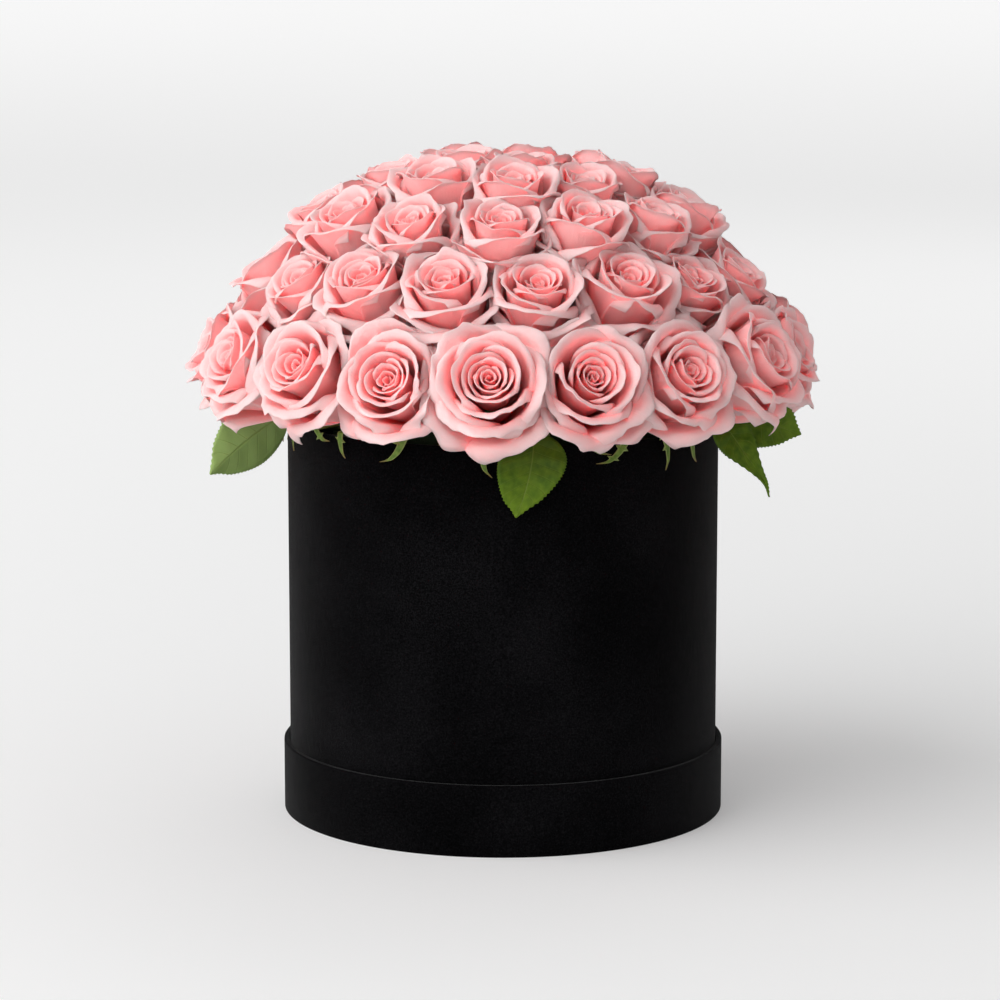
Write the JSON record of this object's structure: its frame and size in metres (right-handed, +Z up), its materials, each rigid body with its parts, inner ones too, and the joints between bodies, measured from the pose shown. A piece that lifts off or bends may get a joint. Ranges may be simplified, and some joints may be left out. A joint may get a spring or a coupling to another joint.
{
  "type": "flower box",
  "caption": "Round velvet-covered gift box standing in its own upturned lid, with a lift-out tub of wet foam that holds a dome of pale pink roses and a few leaves.",
  "frame": {"origin": "centre of the lid's underside, on the floor", "axes": "+Z up along the axis of the box, -Y towards the front of the picture, +X to its right"},
  "size_m": [0.3116, 0.3132, 0.3379],
  "materials": {
    "velvet_black": "matte pile",
    "grey_board": "matte",
    "lining_paper": "matte",
    "tub_plastic": "satin",
    "wet_foam": "matte, porous",
    "rose_petal": "soft satin",
    "calyx_green": "satin",
    "stem_green": "satin",
    "leaf_green": "satin"
  },
  "bodies": {
    "lid": {"lid_panel_velvet": "velvet_black", "lid_panel_board": "grey_board", "lid_panel_lining": "lining_paper", "lid_rim_board": "grey_board", "lid_rim_velvet": "velvet_black", "lid_rim_lining": "lining_paper"},
    "box": {"box_base_paper": "lining_paper", "box_base_board": "grey_board", "box_base_lining": "lining_paper", "box_wall_board": "grey_board", "box_wall_velvet": "velvet_black", "box_wall_lining": "lining_paper"},
    "arrangement": {"liner_tub": "tub_plastic", "foam_base": "wet_foam", "foam_crown": "wet_foam", "ring_1_rose_heads": "rose_petal", "ring_1_calyxes": "calyx_green", "ring_1_stems": "stem_green", "ring_2_rose_heads": "rose_petal", "ring_2_calyxes": "calyx_green", "ring_2_stems": "stem_green", "ring_3_rose_heads": "rose_petal", "ring_3_calyxes": "calyx_green", "ring_3_stems": "stem_green", "ring_4_rose_heads": "rose_petal", "ring_4_calyxes": "calyx_green", "ring_4_stems": "stem_green", "ring_5_rose_heads": "rose_petal", "ring_5_calyxes": "calyx_green", "ring_5_stems": "stem_green", "leaf_front": "leaf_green", "leaf_front_right": "leaf_green", "leaf_right": "leaf_green", "leaf_back_right": "leaf_green", "leaf_back": "leaf_green", "leaf_back_left": "leaf_green", "leaf_left": "leaf_green"}
  },
  "joints": [
    {"name": "box_lift", "type": "slide", "parent": "lid", "child": "box", "axis": [0, 0, 1], "range_m": [0, 0.06]},
    {"name": "arrangement_lift", "type": "slide", "parent": "box", "child": "arrangement", "axis": [0, 0, 1], "range_m": [0, 0.21]}
  ]
}
